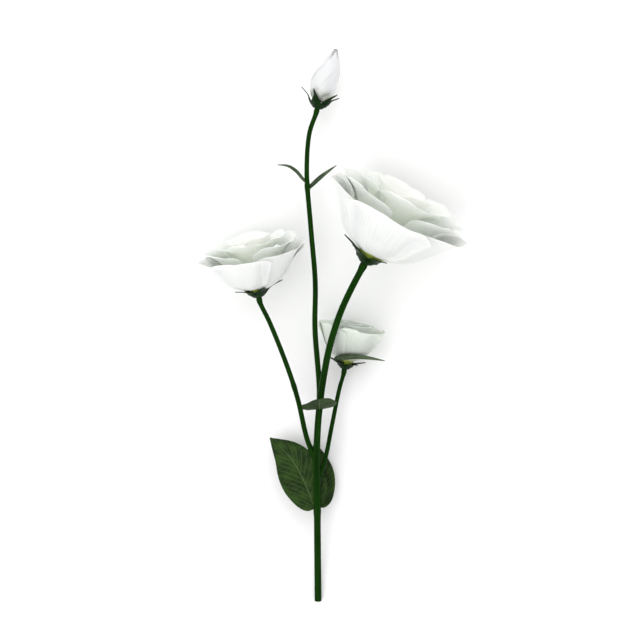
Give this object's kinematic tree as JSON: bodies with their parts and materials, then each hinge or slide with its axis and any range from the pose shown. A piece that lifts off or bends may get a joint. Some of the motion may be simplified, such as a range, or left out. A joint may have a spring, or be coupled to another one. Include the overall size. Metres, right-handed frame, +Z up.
{
  "type": "cut lisianthus spray",
  "caption": "Cut lisianthus spray lying on its side: open double white flowers, a half-open flower and a bud on one branched green stem with leaves.",
  "frame": {"origin": "on the surface the spray lies on, under the middle of its outer size", "axes": "+Y from the cut end of the stem towards the bud, +Z up from the surface, +X to the side of the largest flower"},
  "size_m": [0.1606, 0.3362, 0.0931],
  "materials": {
    "petal": "soft matt white petal with faint grey-green veins",
    "inner_petal": "soft matt cream petal",
    "stem": "smooth deep green stem with a light bloom",
    "leaf": "matt grey-green leaf with pale veins",
    "calyx": "smooth dark green calyx",
    "stamen": "powdery yellow anthers on pale filaments",
    "pistil": "smooth yellow-green pistil"
  },
  "bodies": {
    "root": {"main_stem": "stem", "left_flower_stalk": "stem", "small_flower_stalk": "stem", "bud_stalk": "stem", "lower_left_leaf": "leaf", "lower_right_leaf": "leaf", "middle_front_leaf": "leaf", "middle_back_leaf": "leaf", "bud_left_bract": "leaf", "bud_right_bract": "leaf", "right_flower_calyx": "calyx", "right_flower_outer_petal_1": "petal", "right_flower_outer_petal_2": "petal", "right_flower_outer_petal_3": "petal", "right_flower_outer_petal_4": "petal", "right_flower_outer_petal_5": "petal", "right_flower_second_petal_1": "petal", "right_flower_second_petal_2": "petal", "right_flower_second_petal_3": "petal", "right_flower_second_petal_4": "petal", "right_flower_second_petal_5": "petal", "right_flower_third_petal_1": "inner_petal", "right_flower_third_petal_2": "inner_petal", "right_flower_third_petal_3": "inner_petal", "right_flower_third_petal_4": "inner_petal", "right_flower_inner_petal_1": "inner_petal", "right_flower_inner_petal_2": "inner_petal", "right_flower_inner_petal_3": "inner_petal", "right_flower_pistil": "pistil", "right_flower_stamens": "stamen", "left_flower_calyx": "calyx", "left_flower_outer_petal_1": "petal", "left_flower_outer_petal_2": "petal", "left_flower_outer_petal_3": "petal", "left_flower_outer_petal_4": "petal", "left_flower_outer_petal_5": "petal", "left_flower_second_petal_1": "petal", "left_flower_second_petal_2": "petal", "left_flower_second_petal_3": "petal", "left_flower_second_petal_4": "petal", "left_flower_second_petal_5": "petal", "left_flower_third_petal_1": "inner_petal", "left_flower_third_petal_2": "inner_petal", "left_flower_third_petal_3": "inner_petal", "left_flower_third_petal_4": "inner_petal", "left_flower_inner_petal_1": "inner_petal", "left_flower_inner_petal_2": "inner_petal", "left_flower_inner_petal_3": "inner_petal", "left_flower_pistil": "pistil", "left_flower_stamens": "stamen", "small_flower_calyx": "calyx", "small_flower_outer_petal_1": "petal", "small_flower_outer_petal_2": "petal", "small_flower_outer_petal_3": "petal", "small_flower_outer_petal_4": "petal", "small_flower_outer_petal_5": "petal", "small_flower_furled_petals": "inner_petal", "bud_calyx": "calyx", "bud_furled_petals": "petal"}
  },
  "joints": []
}
